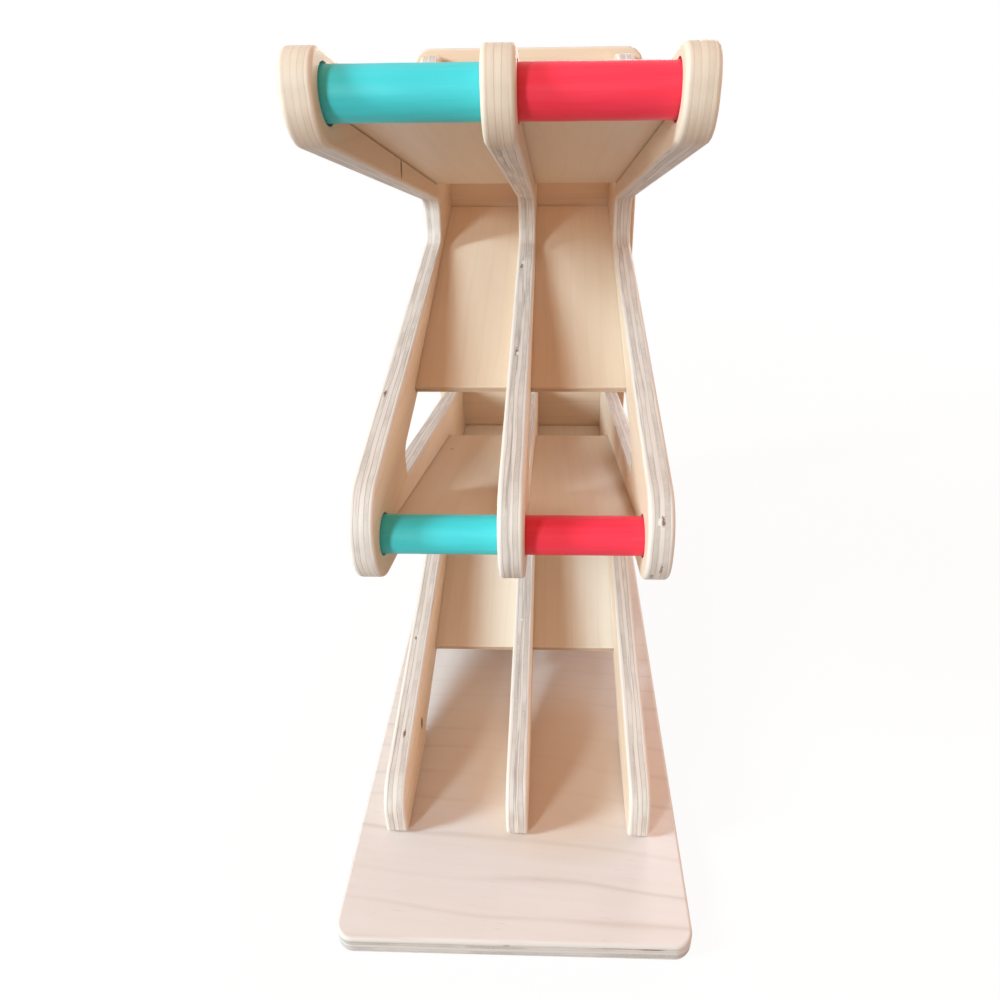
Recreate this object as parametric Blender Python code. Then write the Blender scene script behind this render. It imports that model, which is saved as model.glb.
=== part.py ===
# Two-lane zigzag car ramp of birch plywood.
# Three zigzag walls carry eight thin ramp boards and four painted dowels.
# The walls stand on a base plate and are screwed to a tall back board.
# Frame: +X right, +Y towards the back board, +Z up, origin under the middle of the base plate.

import math

import bmesh
import bpy
from mathutils import Matrix, Vector

MM = 0.001

# Base plate, mm
BASE_LENGTH = 303.2
BASE_WIDTH = 132.6
BASE_THICKNESS = 9.0
BASE_CORNER_RADIUS = 7.0

# Back board, mm
BACK_WIDTH = 122.0
BACK_THICKNESS = 9.0
BACK_CORNER_RADIUS = 9.0
BACK_ABOVE_DOWEL = 12.0

# Walls and lanes, mm
WALL_THICKNESS = 9.0
LANE_WIDTH = 40.75
EDGE_ROUND = 1.4
POST_BELOW_BACK_TOP = 3.5
MIDDLE_POST_DROP = 12.0
POST_DEPTH = 20.0
POST_FOOT_DEPTH = 44.0
NOTCH_DEPTH = 46.0
WINDOW_REACH = 45.5
LOBE_REACH = 11.6
NOSE_REACH = 13.8
TOE_REACH = 23.5
TOE_LENGTH = 50.0

# Slopes of the upper and lower wall edges, rise over run
TOP_EDGE_SLOPE = 0.21
TOP_EDGE_2_SLOPE = 0.218
LOW_EDGE_SLOPE = 0.238
LOW_EDGE_3_SLOPE = 0.23

# Dowels, mm
DOWEL_DIAMETER = 14.0
DOWEL_REACH = 229.5
DOWEL_SOCKET = 6.0

# Ramps, mm: numbered from the top, slopes as rise over run
RAMP_THICKNESS = 3.0
RAMP_GROOVE = 3.0
RAMP_START_GAP = 2.0
RAMP_1_SLOPE = 0.2525
RAMP_2_SLOPE = 0.316
RAMP_3_SLOPE = 0.2725
RAMP_4_SLOPE = 0.2745
RAMP_1_BACK_GAP = 50.0
RAMP_2_FRONT_GAP = 77.0
RAMP_3_BACK_GAP = 68.0
RAMP_4_FRONT_GAP = 65.8
RAMP_4_FRONT_HEIGHT = 19.85
LOWER_BACK_STEP = 26.6
UPPER_BACK_STEP = 22.3
FRONT_DROP = 43.8

# Wall height above each ramp and below its underside, half way along, mm
LIP_1 = 15.8
LIP_2 = 11.6
LIP_3 = 13.6
LIP_4 = 18.5
SILL_1 = 8.7
SILL_2 = 6.2
SILL_3 = 9.2
SILL_4 = 4.9

# Fillets of the wall outline, mm
LOBE_RADIUS = 11.5
NOSE_RADIUS = 18.0
TOE_RADIUS = 22.0
NOTCH_RADIUS = 8.0
WINDOW_RADIUS = 6.5
DIP_RADIUS = 18.0
POST_RADIUS = 8.0
FOOT_RADIUS = 3.0

# Wood screws, mm
SCREW_DIAMETER = 3.4
SCREW_HEAD = 7.0
SCREW_LENGTH = 26.0
SCREW_POINT = 4.0
SCREW_SINK = 0.4
TOE_SCREW_INSET = 16.0
TOE_SCREW_PITCH = 20.0
BOARD_SCREW_INSET = 16.0

# Gap between pieces that touch, mm
GAP = 0.3

# Facets
ARC_STEP = math.radians(15)
DOWEL_SIDES = 40
SCREW_SIDES = 12

# Paint and wood colours, linear
BIRCH = (0.74, 0.53, 0.36)
BIRCH_PALE = (0.80, 0.64, 0.49)
TEAL = (0.05, 0.62, 0.60)
RED = (0.86, 0.035, 0.06)
ZINC = (0.62, 0.62, 0.60)

# Places worked out from the sizes above, mm
LANE_PITCH = LANE_WIDTH + WALL_THICKNESS
BACK_FACE_Y = BASE_LENGTH / 2 - BACK_THICKNESS
FLOOR_Z = BASE_THICKNESS
DOWEL_Y = BACK_FACE_Y - DOWEL_REACH
DOWEL_RADIUS = DOWEL_DIAMETER / 2
MIDDLE_Y = BACK_FACE_Y - DOWEL_REACH / 2
RAMP_START_Y = DOWEL_Y + DOWEL_RADIUS + RAMP_START_GAP
LOBE_Y = DOWEL_Y - LOBE_REACH
NOSE_Y = DOWEL_Y - NOSE_REACH
TOE_Y = DOWEL_Y - TOE_REACH


class Line:
    """A sloping line in the side view, through (y, z), that rises by slope per unit of y."""

    def __init__(self, y, z, slope):
        self.y = y
        self.z = z
        self.slope = slope

    def at(self, y):
        return self.z + self.slope * (y - self.y)


def ramp_lines():
    """Top surfaces of the four ramps, worked out from the base upwards."""
    ramp_4 = Line(DOWEL_Y + RAMP_4_FRONT_GAP, FLOOR_Z + RAMP_4_FRONT_HEIGHT, RAMP_4_SLOPE)
    back_3 = BACK_FACE_Y - RAMP_3_BACK_GAP
    ramp_3 = Line(back_3, ramp_4.at(BACK_FACE_Y) + LOWER_BACK_STEP, -RAMP_3_SLOPE)
    front_2 = DOWEL_Y + RAMP_2_FRONT_GAP
    ramp_2 = Line(front_2, ramp_3.at(front_2) + FRONT_DROP, RAMP_2_SLOPE)
    back_1 = BACK_FACE_Y - RAMP_1_BACK_GAP
    ramp_1 = Line(back_1, ramp_2.at(BACK_FACE_Y) + UPPER_BACK_STEP, -RAMP_1_SLOPE)
    return ramp_1, ramp_2, ramp_3, ramp_4


RAMP_1, RAMP_2, RAMP_3, RAMP_4 = ramp_lines()
TOP_DOWEL_Z = RAMP_1.at(DOWEL_Y)
LOW_DOWEL_Z = RAMP_3.at(DOWEL_Y)
BACK_TOP_Z = TOP_DOWEL_Z + BACK_ABOVE_DOWEL


def rear_end(line):
    """Rear end of a ramp that meets the back board: its lower corner leans back by this much."""
    lean = RAMP_THICKNESS * math.sin(math.atan(line.slope))
    return BACK_FACE_Y - GAP - lean


# Front and back ends of each ramp, and whether it runs up to the back board
RAMP_SPANS = {
    1: (RAMP_1, RAMP_START_Y, BACK_FACE_Y - RAMP_1_BACK_GAP, False),
    2: (RAMP_2, DOWEL_Y + RAMP_2_FRONT_GAP, rear_end(RAMP_2), True),
    3: (RAMP_3, RAMP_START_Y, BACK_FACE_Y - RAMP_3_BACK_GAP, False),
    4: (RAMP_4, DOWEL_Y + RAMP_4_FRONT_GAP, rear_end(RAMP_4), True),
}

# Middle of each wall and lane across the toy
WALL_X = {"left": -LANE_PITCH, "middle": 0.0, "right": LANE_PITCH}
LANE_X = {"left": -LANE_PITCH / 2, "right": LANE_PITCH / 2}


def clear_scene():
    for item in list(bpy.data.objects):
        bpy.data.objects.remove(item, do_unlink=True)


def make_material(name, colour, roughness, metallic=0.0):
    material = bpy.data.materials.new(name)
    material.use_nodes = True
    shader = material.node_tree.nodes["Principled BSDF"]
    shader.inputs["Base Color"].default_value = (*colour, 1.0)
    shader.inputs["Roughness"].default_value = roughness
    shader.inputs["Metallic"].default_value = metallic
    return material


def add_object(name, mesh, material):
    item = bpy.data.objects.new(name, mesh)
    bpy.context.collection.objects.link(item)
    if material:
        mesh.materials.append(material)
    return item


def add_cutter(name, mesh):
    item = add_object(name, mesh, None)
    item.hide_render = True
    item.display_type = "WIRE"
    return item


def cut(item, cutter):
    modifier = item.modifiers.new("cut_" + cutter.name, "BOOLEAN")
    modifier.operation = "DIFFERENCE"
    modifier.solver = "EXACT"
    modifier.object = cutter


def mesh_from(name, bm):
    bmesh.ops.recalc_face_normals(bm, faces=bm.faces)
    mesh = bpy.data.meshes.new(name)
    bm.to_mesh(mesh)
    bm.free()
    return mesh


def smooth(mesh, degrees=40):
    mesh.shade_smooth()
    mesh.set_sharp_from_angle(angle=math.radians(degrees))


def rounded_outline(corners):
    """Points of a closed outline whose corners (a, b, radius) are rounded by arcs."""
    points = []
    count = len(corners)
    for index, (a, b, radius) in enumerate(corners):
        here = Vector((a, b))
        before = Vector(corners[index - 1][:2]) - here
        after = Vector(corners[(index + 1) % count][:2]) - here
        half = before.angle(after) / 2
        room = 0.49 * min(before.length, after.length)
        reach = min(radius / math.tan(half), room)
        if reach < 0.01:
            points.append(here)
            continue
        start = here + before.normalized() * reach
        end = here + after.normalized() * reach
        middle = here + (before.normalized() + after.normalized()).normalized() * reach / math.cos(half)
        steps = max(1, math.ceil((math.pi - 2 * half) / ARC_STEP))
        from_middle = start - middle
        turn = from_middle.angle_signed(end - middle)
        for step in range(steps + 1):
            points.append(middle + Matrix.Rotation(-turn * step / steps, 2) @ from_middle)
    return points


def slab(name, points, to_space, thickness, edge_round):
    """A flat board: the outline, thickened along the board's third axis, with soft edges."""
    bm = bmesh.new()
    low = [bm.verts.new(to_space(p, -thickness / 2) * MM) for p in points]
    face = bm.faces.new(low)
    grown = bmesh.ops.extrude_face_region(bm, geom=[face])
    shift = (to_space(points[0], thickness / 2) - to_space(points[0], -thickness / 2)) * MM
    high = [v for v in grown["geom"] if isinstance(v, bmesh.types.BMVert)]
    bmesh.ops.translate(bm, verts=high, vec=shift)
    bmesh.ops.recalc_face_normals(bm, faces=bm.faces)
    if edge_round:
        rims = [e for e in bm.edges if any(len(f.verts) == len(points) for f in e.link_faces)]
        bmesh.ops.bevel(
            bm, geom=rims, offset=edge_round * MM, segments=2, profile=0.5, affect="EDGES", clamp_overlap=True
        )
    return mesh_from(name, bm)


def add_turned(bm, profile, place, sides):
    """Turn a profile of (radius, height) about Z and put it in place; ends close at radius 0."""
    rings = []
    for radius, height in profile:
        if radius == 0:
            rings.append([bm.verts.new(place @ Vector((0, 0, height * MM)))])
            continue
        ring = []
        for side in range(sides):
            angle = 2 * math.pi * side / sides
            spot = Vector((radius * math.cos(angle), radius * math.sin(angle), height)) * MM
            ring.append(bm.verts.new(place @ spot))
        rings.append(ring)
    for lower, upper in zip(rings, rings[1:]):
        for side in range(sides):
            after = (side + 1) % sides
            quad = [lower[side % len(lower)], lower[after % len(lower)]]
            quad += [upper[after % len(upper)], upper[side % len(upper)]]
            bm.faces.new(list(dict.fromkeys(quad)))


def add_block(bm, low, high, place=Matrix.Identity(4)):
    """A box between two corners, put in place."""
    size = Vector(high) - Vector(low)
    centre = (Vector(high) + Vector(low)) / 2
    box = Matrix.Translation(centre * MM) @ Matrix.Diagonal((*(size * MM), 1.0))
    bmesh.ops.create_cube(bm, size=1.0, matrix=place @ box)


def ramp_place(line):
    """Lays local +Y along the ramp's slope, with local Z zero on its top surface."""
    spot = Matrix.Translation(Vector((0, line.y, line.z)) * MM)
    return spot @ Matrix.Rotation(math.atan(line.slope), 4, "X")


def along_ramp(line, y):
    return (y - line.y) * math.sqrt(1 + line.slope ** 2)


def wall_outline(post_drop):
    """The zigzag side view, from the toe up the front, down the back and along the base."""
    top_1 = Line(MIDDLE_Y, RAMP_1.at(MIDDLE_Y) + LIP_1, -TOP_EDGE_SLOPE)
    low_1 = Line(MIDDLE_Y, RAMP_1.at(MIDDLE_Y) - RAMP_THICKNESS - SILL_1, -LOW_EDGE_SLOPE)
    top_2 = Line(MIDDLE_Y, RAMP_2.at(MIDDLE_Y) + LIP_2, TOP_EDGE_2_SLOPE)
    low_2 = Line(MIDDLE_Y, RAMP_2.at(MIDDLE_Y) - RAMP_THICKNESS - SILL_2, LOW_EDGE_SLOPE)
    top_3 = Line(MIDDLE_Y, RAMP_3.at(MIDDLE_Y) + LIP_3, -TOP_EDGE_SLOPE)
    low_3 = Line(MIDDLE_Y, RAMP_3.at(MIDDLE_Y) - RAMP_THICKNESS - SILL_3, -LOW_EDGE_3_SLOPE)
    top_4 = Line(MIDDLE_Y, RAMP_4.at(MIDDLE_Y) + LIP_4, TOP_EDGE_SLOPE)
    low_4 = Line(MIDDLE_Y, RAMP_4.at(MIDDLE_Y) - RAMP_THICKNESS - SILL_4, LOW_EDGE_SLOPE)
    back = BACK_FACE_Y - GAP
    foot = FLOOR_Z + GAP
    notch = BACK_FACE_Y - NOTCH_DEPTH
    window = DOWEL_Y + WINDOW_REACH
    heel = TOE_Y + TOE_LENGTH
    dip = BACK_FACE_Y - POST_FOOT_DEPTH
    post_top = BACK_TOP_Z - POST_BELOW_BACK_TOP - post_drop
    return rounded_outline([
        (TOE_Y, foot, FOOT_RADIUS),
        (TOE_Y, top_4.at(TOE_Y), TOE_RADIUS),
        (notch, top_4.at(notch), NOTCH_RADIUS),
        (notch, low_3.at(notch), NOTCH_RADIUS),
        (NOSE_Y, low_3.at(NOSE_Y), NOSE_RADIUS),
        (NOSE_Y, top_2.at(NOSE_Y), NOSE_RADIUS),
        (notch, top_2.at(notch), NOTCH_RADIUS),
        (notch, low_1.at(notch), NOTCH_RADIUS),
        (LOBE_Y, low_1.at(LOBE_Y), LOBE_RADIUS),
        (LOBE_Y, top_1.at(LOBE_Y), LOBE_RADIUS),
        (dip, top_1.at(dip), DIP_RADIUS),
        (BACK_FACE_Y - POST_DEPTH, post_top, POST_RADIUS),
        (back, post_top, FOOT_RADIUS),
        (back, low_2.at(back), FOOT_RADIUS),
        (window, low_2.at(window), WINDOW_RADIUS),
        (window, top_3.at(window), WINDOW_RADIUS),
        (back, top_3.at(back), FOOT_RADIUS),
        (back, low_4.at(back), FOOT_RADIUS),
        (heel, max(low_4.at(heel), foot + FOOT_RADIUS), FOOT_RADIUS),
        (heel, foot, 0),
    ])


def screw_profile(extra=0.0):
    """Countersunk screw, head up the local Z axis at height 0, point downwards."""
    head = SCREW_HEAD / 2 + extra
    shank = SCREW_DIAMETER / 2 + extra
    return [
        (0, -SCREW_LENGTH - extra),
        (shank, -SCREW_LENGTH + SCREW_POINT - extra),
        (shank, -(SCREW_HEAD - SCREW_DIAMETER) / 2),
        (head, 0),
    ]


def screw_places():
    """Every screw's name with its head's place and its direction out of the wood."""
    places = {}
    down = Matrix.Rotation(math.pi, 4, "X")
    rear = Matrix.Rotation(-math.pi / 2, 4, "X")
    under = SCREW_SINK
    behind = BASE_LENGTH / 2 - SCREW_SINK
    heights = {
        "low": (RAMP_4.at(BACK_FACE_Y) + RAMP_3.at(BACK_FACE_Y) + LIP_3) / 2,
        "mid": (RAMP_2.at(BACK_FACE_Y) + RAMP_1.at(BACK_FACE_Y - RAMP_1_BACK_GAP)) / 2,
        "high": RAMP_1.at(BACK_FACE_Y - RAMP_1_BACK_GAP) + LIP_1,
    }
    for side, x in WALL_X.items():
        first = TOE_Y + TOE_SCREW_INSET
        for label, y in (("front", first), ("rear", first + TOE_SCREW_PITCH)):
            places["screw_base_%s_%s" % (side, label)] = Matrix.Translation(Vector((x, y, under)) * MM) @ down
        for label, z in heights.items():
            places["screw_back_%s_%s" % (side, label)] = Matrix.Translation(Vector((x, behind, z)) * MM) @ rear
    board_y = BACK_FACE_Y + BACK_THICKNESS / 2
    board_x = BACK_WIDTH / 2 - BOARD_SCREW_INSET
    for label, x in (("left", -board_x), ("middle", 0.0), ("right", board_x)):
        places["screw_board_" + label] = Matrix.Translation(Vector((x, board_y, under)) * MM) @ down
    return places


def make_screws():
    """The screws, and one cutter of all their holes."""
    zinc = make_material("zinc_steel", ZINC, 0.35, 1.0)
    holes = bmesh.new()
    for name, place in screw_places().items():
        bm = bmesh.new()
        add_turned(bm, screw_profile() + [(0, 0)], Matrix.Identity(4), SCREW_SIDES)
        mesh = mesh_from(name, bm)
        smooth(mesh, 30)
        screw = add_object(name, mesh, zinc)
        screw.matrix_world = place
        mouth = SCREW_HEAD / 2 + GAP
        add_turned(
            holes, screw_profile(GAP) + [(mouth, 2 * SCREW_SINK), (0, 2 * SCREW_SINK)], place, SCREW_SIDES
        )
    return add_cutter("screw_holes", mesh_from("screw_holes", holes))


def make_base(screw_holes):
    half_x = BASE_WIDTH / 2
    half_y = BASE_LENGTH / 2
    corners = [(x, y, BASE_CORNER_RADIUS) for x, y in
               ((-half_x, -half_y), (half_x, -half_y), (half_x, half_y), (-half_x, half_y))]
    mesh = slab(
        "base_plate",
        rounded_outline(corners),
        lambda p, h: Vector((p[0], p[1], BASE_THICKNESS / 2 + h)),
        BASE_THICKNESS,
        EDGE_ROUND,
    )
    base = add_object("base_plate", mesh, make_material("birch_base", BIRCH_PALE, 0.55))
    cut(base, screw_holes)


def make_back(screw_holes):
    half = BACK_WIDTH / 2
    foot = FLOOR_Z + GAP
    corners = [
        (-half, foot, 0),
        (half, foot, 0),
        (half, BACK_TOP_Z, BACK_CORNER_RADIUS),
        (-half, BACK_TOP_Z, BACK_CORNER_RADIUS),
    ]
    centre_y = BACK_FACE_Y + BACK_THICKNESS / 2
    mesh = slab(
        "back_board",
        rounded_outline(corners),
        lambda p, h: Vector((p[0], centre_y + h, p[1])),
        BACK_THICKNESS,
        EDGE_ROUND,
    )
    board = add_object("back_board", mesh, make_material("birch_back", BIRCH, 0.55))
    cut(board, screw_holes)


def make_wall(side, screw_holes):
    x = WALL_X[side]
    name = "wall_" + side
    mesh = slab(
        name,
        wall_outline(MIDDLE_POST_DROP if side == "middle" else 0.0),
        lambda p, h: Vector((x + h, p[0], p[1])),
        WALL_THICKNESS,
        EDGE_ROUND,
    )
    wall = add_object(name, mesh, make_material("birch_" + name, BIRCH, 0.55))
    cut(wall, screw_holes)
    seats = bmesh.new()
    for lane, lane_x in LANE_X.items():
        toward = 1 if lane_x > x else -1
        if abs(lane_x - x) > LANE_PITCH:
            continue
        inner = x + toward * WALL_THICKNESS / 2
        floor = inner - toward * RAMP_GROOVE
        clear = inner + toward * GAP
        for line, front, rear, to_back in RAMP_SPANS.values():
            past = BACK_FACE_Y + RAMP_THICKNESS if to_back else rear + GAP
            add_block(
                seats,
                (min(floor, clear), along_ramp(line, front) - GAP, -RAMP_THICKNESS - GAP),
                (max(floor, clear), along_ramp(line, past), GAP),
                ramp_place(line),
            )
    for z in (TOP_DOWEL_Z, LOW_DOWEL_Z):
        add_turned(seats, dowel_profile(*socket_span(side), GAP), dowel_place(z), DOWEL_SIDES)
    cut(wall, add_cutter(name + "_seats", mesh_from(name + "_seats", seats)))


def socket_span(side):
    """Where a wall's dowel socket starts and ends across the toy."""
    x = WALL_X[side]
    half = WALL_THICKNESS / 2
    if side == "left":
        return x + half - DOWEL_SOCKET, x + half + GAP
    if side == "right":
        return x - half - GAP, x - half + DOWEL_SOCKET
    return x - half - GAP, x + half + GAP


def dowel_profile(start, end, extra=0.0):
    radius = DOWEL_RADIUS + extra
    return [(0, start), (radius, start), (radius, end), (0, end)]


def dowel_place(z):
    """Lays a turned piece's axis along +X at a dowel's height."""
    return Matrix.Translation(Vector((0, DOWEL_Y, z)) * MM) @ Matrix.Rotation(math.pi / 2, 4, "Y")


def make_dowels():
    paints = {
        "left": make_material("teal_paint", TEAL, 0.4),
        "right": make_material("red_paint", RED, 0.4),
    }
    outer = LANE_PITCH - WALL_THICKNESS / 2 + DOWEL_SOCKET - GAP
    for level, z in (("top", TOP_DOWEL_Z), ("low", LOW_DOWEL_Z)):
        for side, paint in paints.items():
            start, end = (-outer, -GAP) if side == "left" else (GAP, outer)
            name = "dowel_%s_%s" % (level, side)
            bm = bmesh.new()
            add_turned(bm, dowel_profile(start, end), Matrix.Identity(4), DOWEL_SIDES)
            mesh = mesh_from(name, bm)
            smooth(mesh)
            dowel = add_object(name, mesh, paint)
            dowel.matrix_world = dowel_place(z)


def make_ramps():
    birch = make_material("birch_ramp", BIRCH, 0.5)
    half = LANE_WIDTH / 2 + RAMP_GROOVE - GAP
    for number, (line, front, rear, _) in RAMP_SPANS.items():
        for lane, x in LANE_X.items():
            name = "ramp_%d_%s" % (number, lane)
            bm = bmesh.new()
            add_block(
                bm,
                (x - half, along_ramp(line, front), -RAMP_THICKNESS),
                (x + half, along_ramp(line, rear), 0),
            )
            board = add_object(name, mesh_from(name, bm), birch)
            board.matrix_world = ramp_place(line)


def main():
    clear_scene()
    screw_holes = make_screws()
    make_base(screw_holes)
    make_back(screw_holes)
    for side in WALL_X:
        make_wall(side, screw_holes)
    make_ramps()
    make_dowels()


main()
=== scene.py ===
import math

import bmesh
import bpy
from mathutils import Matrix, Vector


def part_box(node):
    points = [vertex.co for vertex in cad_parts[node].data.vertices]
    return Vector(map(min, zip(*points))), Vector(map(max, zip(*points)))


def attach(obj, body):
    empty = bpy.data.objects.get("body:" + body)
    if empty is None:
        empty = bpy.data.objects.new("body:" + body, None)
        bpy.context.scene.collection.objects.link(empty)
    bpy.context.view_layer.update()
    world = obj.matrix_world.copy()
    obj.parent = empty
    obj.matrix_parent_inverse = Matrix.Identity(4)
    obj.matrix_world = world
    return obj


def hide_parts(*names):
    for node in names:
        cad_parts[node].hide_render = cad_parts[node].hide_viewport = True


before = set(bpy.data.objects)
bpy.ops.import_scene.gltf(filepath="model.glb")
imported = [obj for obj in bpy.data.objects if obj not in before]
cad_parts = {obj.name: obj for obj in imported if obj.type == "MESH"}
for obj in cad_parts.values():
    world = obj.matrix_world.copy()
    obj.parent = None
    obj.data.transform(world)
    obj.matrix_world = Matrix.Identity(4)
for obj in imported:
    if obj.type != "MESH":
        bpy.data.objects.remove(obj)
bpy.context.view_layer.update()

scene = bpy.context.scene
scene.view_settings.view_transform = "Standard"
mm = 0.001
xAxis, yAxis, zAxis = Vector((1, 0, 0)), Vector((0, 1, 0)), Vector((0, 0, 1))


# Camera, from the photograph's own perspective
cameraView = {
    "place": (13.63, -295.42, 291.21),  # mm
    "turn": -0.0378,  # radians
    "tilt": 0.5087,
    "roll": -0.0137,
    "picture": 1000,  # pixels along each side
    "focal": 723.7,  # pixels
    "centre": (528.02, 459.1),  # pixels from the top left
    "sensor": 36,  # mm
    "clipStart": 0.01,
}


def makeCamera(view):
    ahead = Vector((math.sin(view["turn"]), math.cos(view["turn"]), 0))
    right = Vector((ahead.y, -ahead.x, 0))
    gaze = ahead * math.cos(view["tilt"]) - zAxis * math.sin(view["tilt"])
    above = zAxis * math.cos(view["tilt"]) + ahead * math.sin(view["tilt"])
    side = right * math.cos(view["roll"]) + above * math.sin(view["roll"])
    top = above * math.cos(view["roll"]) - right * math.sin(view["roll"])
    data = bpy.data.cameras.new("photoCamera")
    data.sensor_width = view["sensor"]
    data.lens = view["focal"] * view["sensor"] / view["picture"]
    data.shift_x = (view["picture"] / 2 - view["centre"][0]) / view["picture"]
    data.shift_y = (view["centre"][1] - view["picture"] / 2) / view["picture"]
    data.clip_start = view["clipStart"]
    camera = bpy.data.objects.new("photoCamera", data)
    scene.collection.objects.link(camera)
    facing = Matrix((side, top, -gaze)).transposed().to_4x4()
    camera.matrix_world = Matrix.Translation(Vector(view["place"]) * mm) @ facing
    scene.camera = camera


makeCamera(cameraView)
print("camera set")


# Short ways to wire nodes, for materials and for geometry
class nodeBench:
    def __init__(self, tree):
        self.tree = tree

    def feed(self, socket, value):
        if isinstance(value, bpy.types.NodeSocket):
            self.tree.links.new(value, socket)
        else:
            socket.default_value = value

    def add(self, kind, sockets=None, **settings):
        node = self.tree.nodes.new(kind)
        for name, value in settings.items():
            setattr(node, name, value)
        for name, value in (sockets or {}).items():
            self.feed(node.inputs[name], value)
        return node

    def filled(self, node, values):
        for socket, value in zip(node.inputs, values):
            self.feed(socket, value)
        return node

    def maths(self, operation, *values):
        return self.filled(self.add("ShaderNodeMath", operation=operation), values).outputs[0]

    def vectors(self, operation, *values):
        node = self.filled(self.add("ShaderNodeVectorMath", operation=operation), values)
        return node.outputs["Value" if operation == "LENGTH" else "Vector"]

    def mixed(self, factor, first, second):
        node = self.add("ShaderNodeMix", data_type="RGBA")
        for index, value in ((0, factor), (6, first), (7, second)):  # the sockets of its colour mode
            self.feed(node.inputs[index], value)
        return node.outputs[2]

    def eased(self, value, low, high, toLow=0.0, toHigh=1.0):
        sockets = {"Value": value, "From Min": low, "From Max": high, "To Min": toLow, "To Max": toHigh}
        return self.add("ShaderNodeMapRange", sockets, interpolation_type="SMOOTHSTEP").outputs[0]

    def noise(self, vector, detail, roughness=0.5, distortion=0.0):
        sockets = {"Vector": vector, "Scale": 1.0, "Detail": detail, "Roughness": roughness, "Distortion": distortion}
        return self.add("ShaderNodeTexNoise", sockets).outputs["Fac"]


def startMaterial(name):
    material = bpy.data.materials.new(name)
    material.use_nodes = True
    material.node_tree.nodes.clear()
    return material, nodeBench(material.node_tree)


def endMaterial(bench, sockets, height, bumpStrength, bumpDistance):
    shader = bench.add("ShaderNodeBsdfPrincipled", sockets)
    bump = bench.add("ShaderNodeBump", {"Height": height, "Strength": bumpStrength, "Distance": bumpDistance})
    bench.feed(shader.inputs["Normal"], bump.outputs[0])
    output = bench.add("ShaderNodeOutputMaterial")
    bench.feed(output.inputs["Surface"], shader.outputs[0])


# Birch plywood as one solid stack of plies, so faces and sawn edges agree
birchLook = {
    "pale": (0.80, 0.62, 0.475, 1),
    "warm": (0.755, 0.555, 0.40, 1),
    "line": (0.62, 0.44, 0.31, 1),
    "edgePale": (0.755, 0.665, 0.615, 1),  # inner plies sawn along their grain
    "edgeGrey": (0.50, 0.425, 0.38, 1),  # inner plies that show their ends
    "edgeStain": (0.27, 0.23, 0.21, 1),
    "glue": (0.30, 0.23, 0.18, 1),
    "mark": (0.15, 0.055, 0.028, 1),
    "streak": 0.7,  # how strongly each effect shows, 0 to 1
    "blotch": 0.45,
    "fleck": 0.22,
    "stain": 0.7,
    "figure": 0.22,
    "figurePitch": 0.10,  # growth lines per mm across the grain
    "figureSharpness": 22.0,
    "wander": 11.0,
    "blotchBend": 3.0,
    "waver": 1.2,  # how far a layer strays, in plies
    "plyShift": 17.3,  # so that no two plies are alike
    "corePlace": 0.45,  # share of the thickness
    "coreStain": 0.35,
    "relief": {"streak": 0.5, "fine": 0.35, "glue": 0.25, "pit": 0.8},
    "roughness": 0.52,
    "roughSpread": 0.16,
    "gloss": 0.32,
    "bump": 0.14,
    "bumpDepth": 0.0004,  # metres
}
baseLook = dict(
    birchLook,
    pale=(0.765, 0.685, 0.665, 1),
    warm=(0.735, 0.635, 0.595, 1),
    line=(0.54, 0.435, 0.385, 1),
    edgePale=(0.70, 0.625, 0.59, 1),
    edgeGrey=(0.42, 0.365, 0.34, 1),
    figure=0.42,
    figurePitch=0.08,
    wander=15.0,
)
rampLook = dict(
    birchLook,
    pale=(0.79, 0.615, 0.475, 1),
    warm=(0.755, 0.56, 0.41, 1),
    edgePale=(0.66, 0.50, 0.37, 1),
    edgeGrey=(0.44, 0.31, 0.22, 1),
    streak=0.55,
    figure=0.12,
    figurePitch=0.14,
    roughness=0.48,
)
paintedLightRampLook = dict(rampLook, pale=(0.85, 0.74, 0.64, 1), warm=(0.82, 0.69, 0.58, 1))  # paler copy of the ramp wood for the lowest ramps: painted light that stands in for the light falling on them

# Noises in the wood: cycles per mm along, across and through the grain, then detail and roughness
woodNoise = {
    "waver": ((0.025, 0.025, 0.10), 3.0, 0.55),
    "blotch": ((0.008, 0.022, 0.022), 2.0, 0.5),
    "wander": ((0.006, 0.018, 0.018), 2.0, 0.45),
    "fade": ((0.007, 0.05, 0.05), 2.0, 0.5),
    "fleck": ((0.10, 0.95, 0.95), 2.0, 0.55),
    "runs": ((0.035, 0.035, 0), 3.0, 0.6),
    "stain": ((0.03, 0.03, 0.9), 3.0, 0.6),
    "grit": ((1.1, 1.1, 1.1), 3.0, 0.6),
}
streakScale = (0.014, 0.30, 0.30)  # cycles per mm, as above
crossScale = (0.286, -0.286, 0)  # added where a ply lies crosswise
fineScale = 3.5  # times the streaks
toMm = (1000, 1000, 1000)


def pit(at, size, dark, ragged=1.6, lean=0.0):
    return {"at": at, "size": size, "dark": dark, "ragged": ragged, "lean": lean}


def tint(colour, at, size, share, ragged=1.6, lean=0.0):
    return dict(pit(at, size, share, ragged, lean), colour=colour)


filler = (0.84, 0.79, 0.75, 1)  # pale filling in a void


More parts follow.
